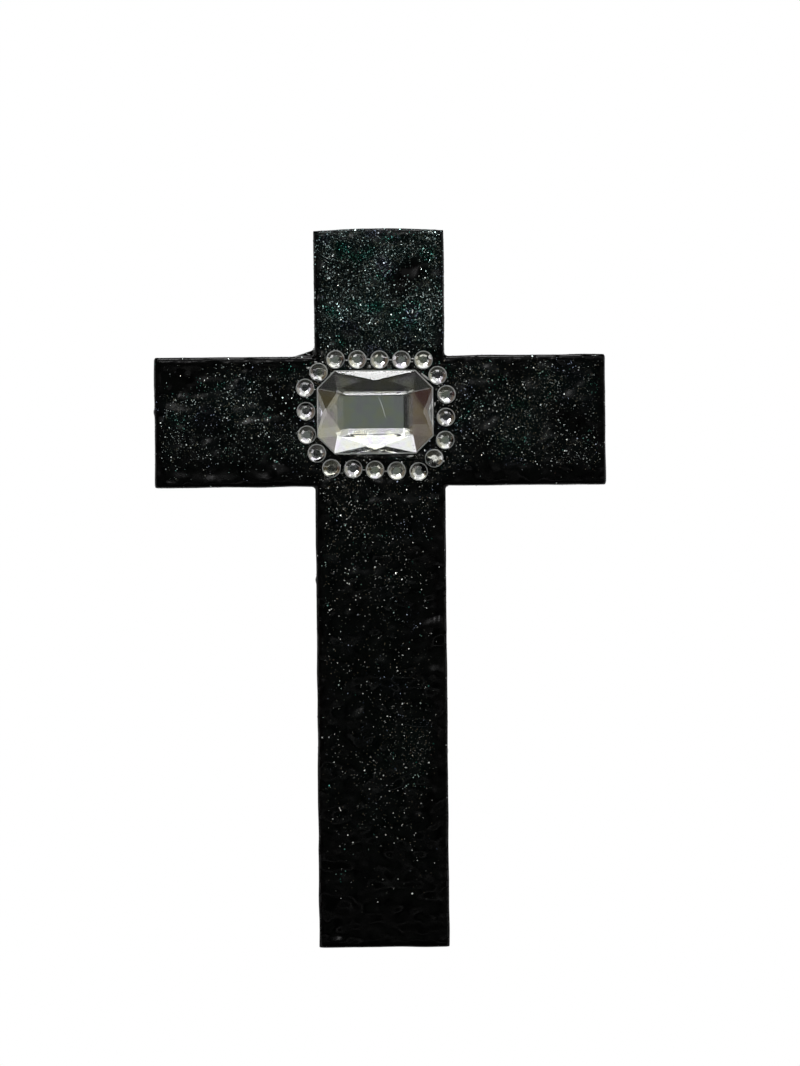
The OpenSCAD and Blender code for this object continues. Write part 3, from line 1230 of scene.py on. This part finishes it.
def direction(azimuth, elevation):
    """Unit direction from the cross, 0, 0 being straight towards the camera."""
    a, e = math.radians(azimuth), math.radians(elevation)
    return Vector((math.sin(a) * math.cos(e), -math.cos(a) * math.cos(e), math.sin(e)))


def add_card(name, azimuth, elevation, wide, high, colour):
    """A glowing card of that many degrees across, facing the cross."""
    deselect_all()
    towards = direction(azimuth, elevation)
    bpy.ops.mesh.primitive_plane_add(size=1)
    card = bpy.context.object
    card.scale = [2 * CARD_AWAY * math.tan(math.radians(angle / 2)) for angle in (wide, high)] + [1]
    card.rotation_euler = (-towards).to_track_quat("Z", "Y").to_euler()
    card.location = towards * CARD_AWAY
    card = settle(name)
    card.data.materials.append(glow(name, colour))
    only_in_reflections(card)


for name, azimuth, elevation, wide, high, colour in (
    ("card_behind_camera", 6.5, 1, 24, 6, (0.122, 0.138, 0.122)),
    ("card_right", 32, 23.2, 26, 49.5, (0.36, 0.35, 0.305)),
    ("card_right_low", 28, -8, 32, 13, (0.06, 0.05, 0.03)),
    ("card_left", -32, 22, 28, 47, (0.125, 0.1, 0.072)),
    ("card_left_low", -30, -8, 28, 13, (0.05, 0.026, 0.02)),
    ("card_far_left", -80, 13, 30, 32, (2.0, 2.0, 2.0)),
    ("card_far_right", 80, 13, 34, 32, (2.0, 2.0, 2.0)),
):
    add_card(name, azimuth, elevation, wide, high, colour)
    print(f"{name}: {wide} x {high} degrees")

# %% [markdown]
# ## Lamps
#
# Two soft boxes above the camera give the stones their bright lower facets. A lamp near
# the ceiling draws a line of light along the upper edges, and a small bare bulb makes
# the hard white points in the glitter and the glue.

# %% Lamps


def add_lamp(name, azimuth, elevation, away, wide, high, radiance):
    """An area light of that size in metres, turned to the cross."""
    light = bpy.data.lights.new(name, "AREA")
    light.shape = "RECTANGLE"
    light.size, light.size_y = wide, high
    light.energy = radiance * math.pi * wide * high
    lamp = bpy.data.objects.new(name, light)
    bpy.context.scene.collection.objects.link(lamp)
    towards = direction(azimuth, elevation)
    lamp.location = towards * away
    lamp.rotation_euler = towards.to_track_quat("Z", "Y").to_euler()
    lamp.visible_camera = False
    print(f"{name}: {light.energy:.1f} W")


add_lamp("soft_box", 4, 29, 2.2, 1.6, 0.8, 1.12)
add_lamp("low_soft_box", 4, 13.5, 2.2, 1.6, 0.38, 0.6)
add_lamp("ceiling_lamp", 0, 71, 2.0, 0.36, 0.75, 18.0)
add_lamp("bare_bulb", -5, 14, 2.3, 0.2, 0.2, 13.0)

# %% [markdown]
# ## Camera
#
# The picture looks square at the face from far off, so that no side shows, with a very
# long lens. The cross hangs half a degree off plumb in it, which is done by turning the
# camera and leaving the object alone. The height of the picture sets the lens.

# %% Camera
PICTURE_HIGH = 229.0 * MM
PICTURE_MIDDLE = Vector((4.1 * MM, FRONT, -24.1 * MM))
CAMERA_AWAY = 1.5
ROLL = math.radians(-0.5)
SENSOR = 36.0

lens = bpy.data.cameras.new("camera")
lens.sensor_fit = "VERTICAL"
lens.sensor_height = SENSOR
lens.lens = SENSOR * CAMERA_AWAY / PICTURE_HIGH
lens.clip_end = 20
camera = bpy.data.objects.new("camera", lens)
bpy.context.scene.collection.objects.link(camera)
camera.matrix_world = (
    Matrix.Translation(PICTURE_MIDDLE + Vector((0, -CAMERA_AWAY, 0)))
    @ Matrix.Rotation(math.pi / 2, 4, "X")
    @ Matrix.Rotation(ROLL, 4, "Z")
)
bpy.context.scene.camera = camera
bpy.context.scene.view_settings.view_transform = "Standard"
